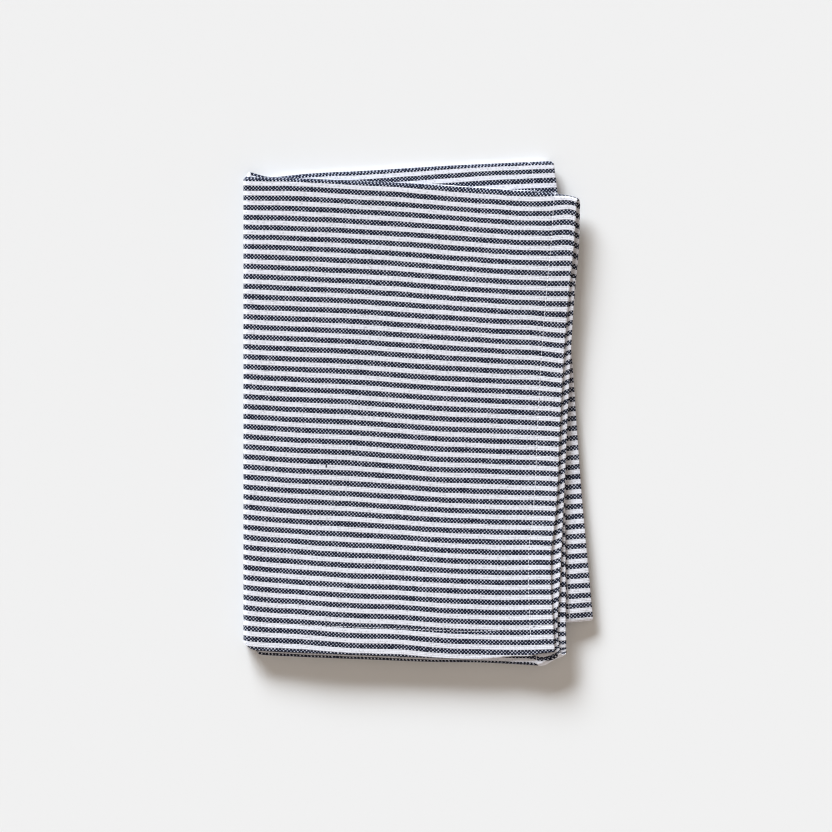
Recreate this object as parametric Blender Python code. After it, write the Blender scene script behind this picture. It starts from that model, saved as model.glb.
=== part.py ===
"""A folded tea towel in metres, +Z up: one striped cotton cloth with a sewn hem on all four sides.

The cloth is folded in three along its length: the centre lies in the middle, the tuck is turned up
over it at the bottom fold, and the flap is turned down over both at the top fold. That packet is
then folded in half across its width, at the half fold on the left, so that six layers lie on each
other. The half fold isn't quite square to the threads, so the upper packet leans one way and the
lower packet the other.

Cloth coordinates: u runs across the width, above zero in the upper half. v runs along the length,
from the flap's free end to the tuck's. The seat of a point is its reach, to the right of the half
fold's outside, its drop, towards the viewer from the top left corner, and its height.
"""

import bpy
import numpy as np

MM = 0.001

# The cloth
CLOTH_THICKNESS = 1.0 * MM
HEM_EXTRA = 0.7 * MM  # what the turned-in cloth of a hem adds, on the wrong side
HEM_PINCH = 0.8  # the share of it that is pressed away inside the tight bottom fold
SIDE_HEM_WIDTH = 17.8 * MM
END_HEM_WIDTH = 20.0 * MM
HEM_STEP = 0.8 * MM  # how quickly the hem's thickness ends at its stitching
UPPER_HALF_WIDTH = 257.0 * MM  # from the half fold to the side hem, along the top fold
LOWER_HALF_WIDTH = 235.0 * MM
FLAP_LENGTH = 361.0 * MM  # from its free end to the middle of the top fold's bend
CENTRE_LENGTH = 364.5 * MM  # from bend to bend
TUCK_LENGTH = 300.5 * MM
FOLD_SLANT = np.radians(3.6)  # of the half fold to the cross threads

# Heights of the layers above and below the plane between the two packets
CENTRE_LEVEL = 0.9 * MM
TUCK_LEVEL = 3.7 * MM
FLAP_LEVEL = 5.8 * MM

# The upper packet's top edge, and the lower one's: how far each point lies below the top left
# corner, by its reach from the half fold.
UPPER_TOP = {
    "reach": (0, 43, 89, 119, 150, 203, 226, 241, 252, 257),
    "drop": (0, 1.4, 3.4, 4.6, 6.2, 9.9, 11.5, 13.6, 15.6, 18.0),
}
LOWER_TOP = {
    "reach": (0, 5, 19, 31, 45, 96, 130, 237),
    "drop": (-3.0, -3.2, 0.3, -0.6, -2.0, -4.6, -6.6, -11.5),
}
# The bottom folds of the two packets
UPPER_BOTTOM = {
    "reach": (0, 17, 43, 97, 142, 184, 214, 230, 246),
    "drop": (362.8, 364.2, 365.4, 367.5, 369.2, 369.8, 371.3, 372.3, 373.4),
}
LOWER_BOTTOM = {
    "reach": (0, 60, 150, 245, 266),
    "drop": (361.5, 356.0, 347.0, 339.7, 338.2),
}
# The side hems of the upper packet's three layers, and of the lower packet's innermost layer
UPPER_SIDES = {
    "drop": (20, 57, 81, 119, 201, 240, 272, 288, 322, 352, 372),
    "flap": (253.6, 251.2, 248.8, 245.6, 240.8, 239.3, 236.8, 234.7, 234.2, 235.6, 236.6),
    "tuck": (254.6, 253.4, 252.4, 250.3, 246.2, 244.6, 243.0, 242.3, 240.5, 239.0, 240.5),
    "centre": (256.4, 255.2, 253.2, 250.4, 246.4, 245.4, 245.2, 245.3, 245.6, 245.4, 243.0),
}
LOWER_SIDE = {
    "drop": (-11, 13, 60, 152, 246, 338),
    "centre": (236.1, 239.2, 243.0, 250.8, 257.3, 265.2),
}
TOP_DROP_AT_SIDE = 16.0 * MM  # how far the top fold has dropped, or risen, where it meets the side
TOP_RISE_AT_SIDE = 11.0 * MM
# The flap's free end isn't cut square: it runs short towards the side hem.
FLAP_END = {
    "reach": (0, 138, 188, 207, 222, 230, 237),
    "short": (0, 0, 0.5, 3.3, 4.4, 6.6, 7.8),
}
FLAP_END_DEPTH = 120.0 * MM  # how far up the flap this shortness fades

# Soft shapes of the upper packet
CORNER_PULL_LEFT = 6.0 * MM  # the bottom left corner is rounded by this much
FLAP_CORNER_REACH = 10.0 * MM
INNER_CORNER_REACH = 18.0 * MM
CORNER_PULL_RIGHT = 5.5 * MM
RIGHT_CORNER_REACH = 20.0 * MM
CORNER_DEPTH = 16.0 * MM  # the pull fades up the packet over this depth
FLAP_LIFT = 1.6 * MM  # the flap's loose corner at the bottom right
LIFT_FROM_REACH = 180.0 * MM
LIFT_TO_REACH = 235.0 * MM
LIFT_FROM_DROP = 320.0 * MM
LIFT_TO_DROP = 360.0 * MM
SWELL_HEIGHT = 0.7 * MM  # the gentle waves in the layers, which calm down towards the half fold
SWELL_WIDTH = 210.0 * MM
SWELL_DEPTH = 273.0 * MM
SWELL_LEAN = 0.3  # how far each wave leans off the threads
SWELL_START = 0.6  # radians into a wave at the top left corner
CALM_REACH = 60.0 * MM

# How far the stack stands up, over the springy bottom folds and at the top right corner
LOFT = {
    "reach": (0, 20, 43, 119, 195, 235, 248, 257, 264, 270),
    "bottom": (0, 0, 1.2, 1.1, 2.3, 4.0, 4.3, 3.4, 1.3, 0),
    "top": (0, 0, 0, 0, 0.1, 1.8, 1.8, 1.8, 1.8, 1.8),
}
BOTTOM_LOFT_FROM = 230.0 * MM  # the drops between which each loft grows to its full height
BOTTOM_LOFT_TO = 350.0 * MM
TOP_LOFT_FROM = 130.0 * MM
TOP_LOFT_TO = 60.0 * MM

# Facets
BEND_STEPS = 10
TOP_FOLD_STEPS = 8
BOTTOM_FOLD_STEPS = 6
HALF_STEPS = 8
DEPTH_SHARES = (0, 0.05, 0.14, 0.26, 0.39, 0.52, 0.65, 0.77, 0.87, 0.94, 0.98, 1)
LEAST_FACET = 3.0 * MM
NARROWING = 1.5  # facets are narrower towards the half fold

HALF_THICKNESS = CLOTH_THICKNESS / 2
MID_HEIGHT = FLAP_LEVEL + HALF_THICKNESS
TOP_RADIUS = (FLAP_LEVEL - CENTRE_LEVEL) / 2
BOTTOM_RADIUS = (TUCK_LEVEL - CENTRE_LEVEL) / 2
TOP_QUARTER = np.pi / 2 * TOP_RADIUS
BOTTOM_QUARTER = np.pi / 2 * BOTTOM_RADIUS
# Depths are measured along the packet, from the outside of the top fold.
TOP_TANGENT = HALF_THICKNESS + TOP_RADIUS
STRAIGHT = CENTRE_LENGTH - TOP_QUARTER - BOTTOM_QUARTER
BOTTOM_TANGENT = TOP_TANGENT + STRAIGHT
PACKET_DEPTH = BOTTOM_TANGENT + BOTTOM_RADIUS + HALF_THICKNESS
TOP_BEND = FLAP_LENGTH  # v at the middle of each bend
BOTTOM_BEND = FLAP_LENGTH + CENTRE_LENGTH
CLOTH_LENGTH = BOTTOM_BEND + TUCK_LENGTH


def smooth_step(x):
    x = np.clip(x, 0, 1)
    return x * x * (3 - 2 * x)


def curve(table, across, along, at):
    """A smooth curve through a table's points, straight beyond its ends; the tables are in millimetres."""
    x = np.array(table[across], float) * MM
    y = np.array(table[along], float) * MM
    slope = np.gradient(y, x)
    at = np.asarray(at, float)
    i = np.clip(np.searchsorted(x, at) - 1, 0, len(x) - 2)
    step = x[i + 1] - x[i]
    t = (at - x[i]) / step
    inside = (
        (2 * t**3 - 3 * t**2 + 1) * y[i]
        + (t**3 - 2 * t**2 + t) * step * slope[i]
        + (3 * t**2 - 2 * t**3) * y[i + 1]
        + (t**3 - t**2) * step * slope[i + 1]
    )
    below = y[0] + (at - x[0]) * slope[0]
    above = y[-1] + (at - x[-1]) * slope[-1]
    return np.where(at < x[0], below, np.where(at > x[-1], above, inside))


def section(v):
    """Along the cloth's length: depth down the packet and level from its middle plane."""
    if v < TOP_BEND - TOP_QUARTER:
        return TOP_TANGENT + (TOP_BEND - TOP_QUARTER - v), FLAP_LEVEL
    if v < TOP_BEND + TOP_QUARTER:
        turn = (v - TOP_BEND) / TOP_RADIUS
        middle = (FLAP_LEVEL + CENTRE_LEVEL) / 2
        return TOP_TANGENT - TOP_RADIUS * np.cos(turn), middle - TOP_RADIUS * np.sin(turn)
    if v < BOTTOM_BEND - BOTTOM_QUARTER:
        return TOP_TANGENT + (v - TOP_BEND - TOP_QUARTER), CENTRE_LEVEL
    if v < BOTTOM_BEND + BOTTOM_QUARTER:
        turn = (v - BOTTOM_BEND) / BOTTOM_RADIUS
        middle = (TUCK_LEVEL + CENTRE_LEVEL) / 2
        return BOTTOM_TANGENT + BOTTOM_RADIUS * np.cos(turn), middle + BOTTOM_RADIUS * np.sin(turn)
    return BOTTOM_TANGENT - (v - BOTTOM_BEND - BOTTOM_QUARTER), TUCK_LEVEL


def layer_shares(v):
    """How much a point belongs to the flap, the tuck and the centre, shared across each bend."""
    flap = 1 - smooth_step((v - TOP_BEND) / (2 * TOP_QUARTER) + 0.5)
    tuck = smooth_step((v - BOTTOM_BEND) / (2 * BOTTOM_QUARTER) + 0.5)
    return flap, tuck, 1 - flap - tuck


def upper_arc(v, depth, level):
    """Arc length from the half fold's apex to the upper side hem."""
    drop = depth + TOP_DROP_AT_SIDE
    flap, tuck, centre = layer_shares(v)
    reach = (
        flap * curve(UPPER_SIDES, "drop", "flap", drop)
        + tuck * curve(UPPER_SIDES, "drop", "tuck", drop)
        + centre * curve(UPPER_SIDES, "drop", "centre", drop)
    )
    return reach - MID_HEIGHT + np.pi / 2 * level


def lower_arc(depth):
    """The same for the lower packet. Its layers end in steps, the outermost shortest."""
    drop = depth - TOP_RISE_AT_SIDE
    return curve(LOWER_SIDE, "drop", "centre", drop) - MID_HEIGHT + np.pi / 2 * CENTRE_LEVEL


def seat(arc, inset, depth, level, loose):
    """The place of a point, from its arc length round the half fold, its inset from the upper side
    hem, its depth and its level. A loose point is on the flap."""
    bend = np.clip(arc / level, -np.pi / 2, np.pi / 2)
    past = np.abs(arc) - np.pi / 2 * level
    reach = MID_HEIGHT + np.where(past > 0, past, -level * np.cos(bend))
    height = MID_HEIGHT + level * np.sin(bend)
    upper = (1 + np.sin(bend)) / 2
    part = depth / PACKET_DEPTH
    upper_drop = curve(UPPER_TOP, "reach", "drop", reach) * (1 - part)
    upper_drop = upper_drop + curve(UPPER_BOTTOM, "reach", "drop", reach) * part
    lower_drop = curve(LOWER_TOP, "reach", "drop", reach) * (1 - part)
    lower_drop = lower_drop + curve(LOWER_BOTTOM, "reach", "drop", reach) * part
    fade = np.exp(-np.maximum(BOTTOM_TANGENT - depth, 0) / CORNER_DEPTH)
    corner_reach = loose * FLAP_CORNER_REACH + (1 - loose) * INNER_CORNER_REACH
    left = CORNER_PULL_LEFT * np.clip(1 - reach / corner_reach, 0, 1) ** 2
    right = CORNER_PULL_RIGHT * (1 - smooth_step(inset / RIGHT_CORNER_REACH)) * (1 - loose)
    upper_drop = upper_drop - (left + right) * fade
    lower_drop = lower_drop - left * fade
    drop = upper * upper_drop + (1 - upper) * lower_drop
    height = height + upper * soft_height(reach, drop, height, loose)
    height = height + loft(reach, drop) * np.clip(height / MID_HEIGHT, 0, 1)
    return reach, drop, height


def soft_height(reach, drop, height, loose):
    """Waves and lift of the upper packet."""
    wave = np.cos(2 * np.pi * (reach + SWELL_LEAN * drop) / SWELL_WIDTH)
    wave = wave * np.sin(2 * np.pi * (drop - SWELL_LEAN * reach) / SWELL_DEPTH + SWELL_START)
    swell = SWELL_HEIGHT / 2 * (1 + wave) * smooth_step(reach / CALM_REACH)
    swell = swell * (height - MID_HEIGHT) / FLAP_LEVEL
    corner = smooth_step((reach - LIFT_FROM_REACH) / (LIFT_TO_REACH - LIFT_FROM_REACH))
    corner = corner * smooth_step((drop - LIFT_FROM_DROP) / (LIFT_TO_DROP - LIFT_FROM_DROP))
    return swell + loose * FLAP_LIFT * corner


def loft(reach, drop):
    """How far the stack stands up above its plain thickness. The lower packet's layers share it."""
    held = np.clip(reach, LOFT["reach"][0] * MM, LOFT["reach"][-1] * MM)
    bottom = smooth_step((drop - BOTTOM_LOFT_FROM) / (BOTTOM_LOFT_TO - BOTTOM_LOFT_FROM))
    top = smooth_step((drop - TOP_LOFT_FROM) / (TOP_LOFT_TO - TOP_LOFT_FROM))
    return curve(LOFT, "reach", "bottom", held) * bottom + curve(LOFT, "reach", "top", held) * top


def rows():
    """Places along the length. Layers that lie on each other share their depths, so they can't cross."""
    depths = TOP_TANGENT + STRAIGHT * np.array(DEPTH_SHARES)
    hem = (0, END_HEM_WIDTH / 2, END_HEM_WIDTH - HEM_STEP / 2, END_HEM_WIDTH + HEM_STEP / 2)
    flap = [TOP_BEND - TOP_QUARTER + TOP_TANGENT - depth for depth in depths[::-1]]
    stations = list(hem) + [v for v in flap if v > END_HEM_WIDTH + LEAST_FACET]
    turn = np.linspace(-1, 1, TOP_FOLD_STEPS + 1)[1:]
    stations += list(TOP_BEND + TOP_QUARTER * turn)
    stations += list(TOP_BEND + TOP_QUARTER - TOP_TANGENT + depths[1:])
    turn = np.linspace(-1, 1, BOTTOM_FOLD_STEPS + 1)[1:]
    stations += list(BOTTOM_BEND + BOTTOM_QUARTER * turn)
    tuck = [BOTTOM_BEND + BOTTOM_QUARTER + BOTTOM_TANGENT - depth for depth in depths[-2::-1]]
    stations += [v for v in tuck if v < CLOTH_LENGTH - END_HEM_WIDTH - LEAST_FACET]
    return stations + [CLOTH_LENGTH - v for v in hem[::-1]]


def half_stations(edge, width, bend_end):
    """Arc lengths from the bend's end to the side hem, with the hem's step between two of them."""
    hem = SIDE_HEM_WIDTH * edge / width
    step = HEM_STEP / 2
    inner = edge - hem - step
    shares = [(i / HALF_STEPS) ** NARROWING for i in range(1, HALF_STEPS + 1)]
    flat = [bend_end + (inner - bend_end) * share for share in shares]
    return flat + [edge - hem + step, edge - hem / 2, edge]


def cloth_points():
    """The middle surface of the cloth, and the hem's extra thickness at each of its points."""
    places, extras = [], []
    for v in rows():
        depth, level = section(v)
        slanted = depth * np.tan(FOLD_SLANT)
        upper_edge, lower_edge = upper_arc(v, depth, level), lower_arc(depth)
        upper_width, lower_width = UPPER_HALF_WIDTH - slanted, LOWER_HALF_WIDTH + slanted
        bend_end = np.pi / 2 * level
        bend = [bend_end * (2 * i / BEND_STEPS - 1) for i in range(BEND_STEPS + 1)]
        upper = half_stations(upper_edge, upper_width, bend_end)
        lower = half_stations(lower_edge, lower_width, bend_end)
        arc = np.array([-a for a in reversed(lower)] + bend + upper)
        on_flap = v < TOP_BEND - TOP_QUARTER
        short = curve(FLAP_END, "reach", "short", np.maximum(arc, 0)) * on_flap
        short = short * smooth_step(1 - v / FLAP_END_DEPTH)
        loose = float(on_flap)
        upper_inset = (upper_edge - arc) * upper_width / upper_edge
        lower_inset = (lower_edge + arc) * lower_width / lower_edge
        seats = seat(arc, upper_inset, depth - short, level, loose)
        places.append(np.stack(seats, axis=-1))
        to_side = np.where(arc > 0, upper_inset, lower_inset)
        to_end = min(v, CLOTH_LENGTH - v)
        in_hem = (to_side < SIDE_HEM_WIDTH) | (to_end < END_HEM_WIDTH)
        pinch = 1 - HEM_PINCH * smooth_step(2 - abs(v - BOTTOM_BEND) / BOTTOM_QUARTER)
        extras.append(HEM_EXTRA * in_hem * pinch)
    return np.array(places), np.array(extras)


def in_frame(places):
    """From (reach, drop, height) to x to the right, y away from the viewer, and z up."""
    return places * np.array([1, -1, 1])


def normals_of(points):
    """Unit normals of the middle surface, towards the cloth's right side."""
    along = np.gradient(points, axis=0)
    across = np.gradient(points, axis=1)
    normal = np.cross(across, along)
    return normal / np.linalg.norm(normal, axis=-1, keepdims=True)


def cloth_mesh(name):
    """One closed body: the right side, the wrong side with its hems, and the rim between them."""
    places, extras = cloth_points()
    points = in_frame(places)
    normal = normals_of(points)
    right_side = points + normal * HALF_THICKNESS
    wrong_side = points - normal * (HALF_THICKNESS + extras[..., None])
    count_v, count_u = points.shape[:2]
    vertices = np.concatenate([right_side.reshape(-1, 3), wrong_side.reshape(-1, 3)])
    low, high = vertices.min(axis=0), vertices.max(axis=0)
    vertices -= np.array([(low[0] + high[0]) / 2, (low[1] + high[1]) / 2, low[2]])

    def right(i, j):
        return i * count_u + j

    def wrong(i, j):
        return count_v * count_u + i * count_u + j

    faces = []
    for i in range(count_v - 1):
        for j in range(count_u - 1):
            faces.append((right(i, j), right(i, j + 1), right(i + 1, j + 1), right(i + 1, j)))
            faces.append((wrong(i, j), wrong(i + 1, j), wrong(i + 1, j + 1), wrong(i, j + 1)))
    for i in range(count_v - 1):
        last = count_u - 1
        faces.append((right(i, 0), right(i + 1, 0), wrong(i + 1, 0), wrong(i, 0)))
        faces.append((right(i, last), wrong(i, last), wrong(i + 1, last), right(i + 1, last)))
    for j in range(count_u - 1):
        last = count_v - 1
        faces.append((right(0, j), wrong(0, j), wrong(0, j + 1), right(0, j + 1)))
        faces.append((right(last, j), right(last, j + 1), wrong(last, j + 1), wrong(last, j)))
    mesh = bpy.data.meshes.new(name)
    mesh.from_pydata(vertices.tolist(), [], faces)
    mesh.validate()
    mesh.shade_smooth()
    return mesh


def cotton_material():
    material = bpy.data.materials.new("striped_cotton")
    material.use_nodes = True
    shader = material.node_tree.nodes["Principled BSDF"]
    shader.inputs["Base Color"].default_value = (0.33, 0.34, 0.39, 1.0)
    shader.inputs["Roughness"].default_value = 0.9
    shader.inputs["Metallic"].default_value = 0.0
    return material


def main():
    for obj in list(bpy.data.objects):
        bpy.data.objects.remove(obj, do_unlink=True)
    towel = bpy.data.objects.new("towel_cloth", cloth_mesh("towel_cloth"))
    towel.data.materials.append(cotton_material())
    bpy.context.scene.collection.objects.link(towel)


main()
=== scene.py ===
"""A folded tea towel of striped cotton, seen from above on a pale studio floor.

The towel is one cloth with a sewn hem on all four sides, folded in three along its length and
then in half across its width. Cloth coordinates: u runs across the width, above zero in the upper
half, and v along the length, from the flap's free end to the tuck's. The seat of a point is its
reach, to the right of the half fold's outside, its drop, towards the viewer from the top left
corner, and its height.
"""

import math

import bpy
import numpy as np
from bpy.props import FloatProperty, FloatVectorProperty, IntProperty, PointerProperty
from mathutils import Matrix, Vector


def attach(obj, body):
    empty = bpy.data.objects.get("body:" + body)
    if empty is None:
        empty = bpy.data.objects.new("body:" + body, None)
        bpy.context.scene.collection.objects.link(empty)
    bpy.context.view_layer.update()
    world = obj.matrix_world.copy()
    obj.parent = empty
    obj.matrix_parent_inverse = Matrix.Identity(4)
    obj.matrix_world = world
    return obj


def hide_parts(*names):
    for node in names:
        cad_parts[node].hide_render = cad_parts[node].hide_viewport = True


bl_info = {
    "name": "Folded Tea Towel",
    "version": (1, 0, 0),
    "blender": (4, 5, 0),
    "location": "View3D > Sidebar > Tea Towel",
    "description": "Folds a striped cotton tea towel, sews its hems and sets its studio",
    "category": "Object",
}

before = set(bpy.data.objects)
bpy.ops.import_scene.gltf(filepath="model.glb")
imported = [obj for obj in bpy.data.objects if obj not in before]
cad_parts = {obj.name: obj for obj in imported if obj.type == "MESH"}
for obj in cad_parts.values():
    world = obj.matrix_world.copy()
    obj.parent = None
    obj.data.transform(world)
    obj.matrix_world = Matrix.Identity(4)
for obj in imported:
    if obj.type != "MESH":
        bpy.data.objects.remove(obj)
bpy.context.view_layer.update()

MM = 0.001
QUARTER = math.pi / 2
CLOTH_NODE = "towel_cloth"

# The cloth's halves and its three lengths, from bend to bend
UPPER_WIDTH = 257 * MM
LOWER_WIDTH = 235 * MM
FLAP_LENGTH = 361 * MM
CENTRE_LENGTH = 364.5 * MM
TUCK_LENGTH = 300.5 * MM
FOLD_SLANT = math.radians(3.6)

# How square the half fold is pressed: 2 is round
SQUARENESS = 2.8

# Heights of the layers above and below the plane between the two packets
CENTRE_LEVEL = 0.9 * MM
TUCK_LEVEL = 3.7 * MM
FLAP_LEVEL = 5.8 * MM

# Outlines in millimetres, as the folds and the side hems lie
UPPER_TOP = {
    "reach": (0, 43, 89, 119, 150, 203, 226, 241, 252, 257),
    "drop": (0, 1.4, 3.4, 4.6, 6.2, 9.9, 11.5, 13.6, 15.6, 18),
}
LOWER_TOP = {
    "reach": (0, 5, 19, 31, 45, 96, 130, 237),
    "drop": (0, 0.1, 0.4, -0.7, -2.2, -5.1, -7.3, -12.43),
}
UPPER_BOTTOM = {
    "reach": (0, 17, 43, 97, 142, 184, 214, 230, 246),
    "drop": (362.8, 364.2, 365.4, 367.5, 369.2, 369.8, 371.3, 372.3, 373.4),
}
LOWER_BOTTOM = {
    "reach": (0, 60, 150, 245, 266),
    "drop": (361.5, 356, 347, 339.7, 338.2),
}
UPPER_SIDES = {
    "drop": (20, 57, 81, 119, 201, 240, 272, 288, 322, 352, 372),
    "flap": (253.6, 251.2, 248.8, 245.6, 240.8, 239.3, 236.8, 234.7, 234.2, 235.6, 236.6),
    "tuck": (254.6, 253.4, 252.4, 250.3, 246.2, 244.6, 243, 242.3, 240.5, 239, 240.5),
    "centre": (256.4, 255.2, 253.2, 250.4, 246.4, 245.4, 245.2, 245.3, 245.6, 245.6, 245.8),
}
LOWER_SIDE = {
    "drop": (-11, 13, 60, 152, 246, 338),
    "centre": (236.1, 239.2, 243, 250.8, 257.3, 265.2),
}
# How far below the top left corner the top fold meets the side hems; above it in the lower packet
TOP_DROP_AT_SIDE = 16 * MM
TOP_RISE_AT_SIDE = 11 * MM
# The flap's free end runs short towards its side hem, in millimetres
FLAP_END = {
    "reach": (0, 138, 188, 207, 222, 230, 237),
    "short": (0, 0, 0, 2.8, 4.3, 6.6, 7.8),
}
FLAP_END_DEPTH = 120 * MM

# The inner layers' top corner at the half fold stands out past the top fold, in millimetres
EAR = {
    "reach": (0, 6, 10, 15, 20, 26),
    "rise": (4.3, 4.3, 3.2, 1.8, 0.5, 0),
}
EAR_LEVELS = (4.6 * MM, 1.6 * MM)
EAR_DEPTH = 25 * MM
EAR_QUICKNESS = 1.3

# The bottom corners draw up, in millimetres: the flap's at the half fold, the inner layers' there,
# and the inner layers' at the side hems by the distance from the edge
FLAP_CORNER_PULL = 6 * MM
FLAP_CORNER_REACH = 10 * MM
INNER_CORNER = {
    "reach": (0, 5, 8, 10, 11, 12, 13.5, 15),
    "pull": (8, 6, 4.6, 3.4, 2, 0.4, 0, 0),
}
RIGHT_CORNER = {
    "inset": (0, 1, 2, 5, 8.4, 10.6, 13, 15.5),
    "pull": (9.6, 8.8, 8, 6.6, 4.8, 3, 1.2, 0),
}
CORNER_DEPTH = 16 * MM
# The bottom fold runs askew through that corner, and the cloth inside it is pressed thin
SKEW_INSET = (25.6 * MM, 9.6 * MM)
SKEW_TURNS = (2.5, 1.5)
SKEW_PRESS = 0.75
# The share of a hem's extra cloth that the bottom fold pinches away
HEM_PINCH = 0.8
PINCH_TURNS = (2, 1)

# The flap's free corner lifts
FLAP_LIFT = 0.6 * MM
LIFT_REACH = (180 * MM, 235 * MM)
LIFT_DROP = (320 * MM, 360 * MM)
# How far the stack stands up, in millimetres: over the springy bottom folds and at the top right
LOFT = {
    "reach": (0, 20, 43, 119, 195, 235, 248, 257, 264, 270),
    "bottom": (0, 0, 1.2, 1.1, 2.3, 4, 4.3, 3.4, 1.3, 0),
    "top": (0, 0, 0, 0, 0.1, 1.8, 1.8, 1.8, 1.8, 1.8),
}
BOTTOM_LOFT_DROP = (230 * MM, 350 * MM)
TOP_LOFT_DROP = (130 * MM, 60 * MM)
# The upper packet's slow swell, calm near the half fold
SWELL_HEIGHT = 0.7 * MM
SWELL_WIDTH = 210 * MM
SWELL_DEPTH = 273 * MM
SWELL_LEAN = 0.3
SWELL_START = 0.6
CALM_REACH = 60 * MM

# How far the threads bow along the cloth's length, in millimetres, by the depth below the top fold
FLAP_BOWS = {
    "reach": (7, 43, 81, 119, 157, 195, 222, 232, 245, 254),
    0: (0.2, -0.4, 0, 0.3, 1.3, 1.2, 0.8, -0.5, -2.8, -3.2),
    9: (-0.6, -1.2, -0.6, 0, 1.3, 1.2, 0.8, -0.5, -3.9, -4.5),
    30: (-1.1, -1.4, -1.2, -0.5, 0.3, 0.6, 0.1, -0.8, -3.3, -3.4),
    60: (-2, -1.7, -1.6, -0.9, 0.3, 0.6, 0.2, -0.4, -2.4, -3),
    121: (-1.7, -1.5, -1.5, -0.4, 0.4, 0.7, 0.3, 0.4, 0.2, 0.2),
    182: (-2, -1.4, -1.2, 0, 1.1, 0.8, 0.4, 0, -0.3, -0.3),
    243: (-1.8, -0.7, -0.3, 0.7, 1.8, 1.6, 0.7, 0.2, -0.1, 0),
    304: (-1.6, -0.4, 0.7, 0.8, 1.9, 2.2, 0.2, -0.5, -0.1, 0),
    330: (-1.3, -0.8, 0.4, 0.3, 1.9, 2.1, 0.3, -0.6, -0.8, -0.8),
    350: (-1.1, -1.1, 0.2, -0.1, 1.9, 2.1, 0.4, -0.7, -1.2, -1.2),
}
CENTRE_BOWS = {
    "reach": (7, 60, 150, 220, 235, 250),
    0: (-0.6, -1, 0.5, -0.5, -0.9, -1.3),
    30: (-0.8, -1, 0.3, -0.7, -1.4, -2.1),
    60: (-1, -1, 0, -1, -2.5, -4),
    240: (-1.2, -1.2, -0.5, 1, 1.2, 1.5),
    256: (-1.2, -1.2, -0.5, 1, 1.9, 2.8),
    300: (-1.2, -1.2, -0.5, 1, 1.6, 2.2),
    320: (-1.2, -1.2, -0.5, 1, 1, 1),
    340: (-1.2, -1.2, -0.5, 0.9, 0.2, -0.4),
    346: (-1.2, -1.2, -0.5, 0.9, 0.2, -1.5),
    352: (-1.2, -1.2, -0.5, 0.8, 1.5, -1.4),
    357: (-1.2, -1.2, -0.8, 0, 3, -0.6),
    362: (-1.2, -1.2, -1.1, -0.9, 4.5, 1.8),
}
TUCK_BOWS = {
    "reach": (7, 60, 120, 205, 222, 233, 252),
    0: (-1.2, -1.2, -1.2, 1, 1.5, 2.9, 3.1),
    260: (-1.2, -1.2, -1.2, 1, 1.5, 2.9, 3.1),
    310: (-1.2, -1.2, -1.2, 1, 1.5, 3.2, 3.2),
    330: (-1.2, -1.2, -1.2, 1, 1.5, 4.6, 4.6),
    345: (-1.2, -1.2, -1.2, 1, 1.2, 6.6, 6.6),
    354: (-1.2, -1.2, -1.2, 1, 1, 6, 6),
    362: (-1.2, -1.2, -1.1, -0.9, -0.8, 4.5, 5),
}
UPPER_BOWS = {"flap": FLAP_BOWS, "tuck": TUCK_BOWS, "centre": CENTRE_BOWS}
LOWER_BOWS = {
    "reach": (7, 80, 138, 157, 195, 260),
    0: (-4.1, -5.2, -5.4, -5.2, -5, -6.2),
    7: (-4.1, -4.5, -4.3, -4, -3.4, -3.7),
    15: (-4.1, -4.3, -4.1, -3.8, -3.4, -4.2),
    25: (-4.1, -4.2, -4, -3.7, -3.4, -4.4),
    110: (-4.1, -4.1, -3.9, -3.5, -2.8, -2.5),
    190: (-4.1, -4.1, -3.9, -3.5, -2.4, -0.7),
    245: (-4.1, -4.1, -3.9, -3.5, -2.4, -0.7),
    305: (-4.1, -4.1, -3.9, -3.5, -2.6, -2.2),
    345: (-4.1, -4.1, -3.9, -3.5, -2.8, -3.1),
}
# The tuck's threads turn aside near its edge
TUCK_EDGE_SKEW = 3 * MM
EDGE_SKEW_WIDTH = 7 * MM
# The first navy stripe's middle, along the flap from the middle of the top fold
FIRST_STRIPE = 2.6 * MM

# Dark knots of thread in the flap, in millimetres from the half fold and from the free end
KNOTS = {
    "across": (80, 242.6),
    "along": (141.8, 27),
    "width": (1.3, 1.8),
    "length": (3.4, 1.8),
    "darkness": (1, 0.6),
}
KNOT_RANGE = (1.3, 0.4)

# Creases and soft ridges of the flap, in millimetres: from and to are seats
CREASES = {
    "from_reach": (24, 120, 222, 230, 214),
    "from_drop": (205, 211, 184, 219, 300),
    "to_reach": (120, 162, 236, 240, 232),
    "to_drop": (211, 213, 187, 222, 304),
    "width": (1.6, 1.6, 2, 2, 2.2),
    "height": (0.12, 0.10, 0.18, 0.18, 0.20),
}
CREASE_FADE = 4

# Small undulations of the face: lengths in millimetres, directions and phases in radians
RIPPLES = {
    "length": (31, 23, 41, 19, 57),
    "angle": (0.35, 1.25, 2.2, 2.9, 0.9),
    "start": (0.2, 1.7, 3.1, 4.4, 5.2),
}
RIPPLE_WANDER = 1.3
RIPPLE_WANDER_LENGTH = 47 * MM

# A hem's step and the puckers of its seam, and the rounding of the cloth's edge
HEM_STEP = 0.6 * MM
SEAM_WIDTH = 0.9 * MM
SEAM_PUCKER = 0.25
PUCKER_LENGTH = 9.7 * MM
EDGE_ROUNDING = 0.7 * MM

# One stitch: places along it, and its width and height there as shares of the thread's radius
STITCH = {
    "along": (0, 0.2, 0.5, 0.8, 1),
    "width": (0.35, 0.9, 1, 0.9, 0.35),
    "rise": (-0.5, 0.15, 0.45, 0.15, -0.5),
}
STITCH_SIDES = 6
# The end hems' stitches sink between the threads, so this share of their width shows
END_STITCH_SHARE = 0.7

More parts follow.
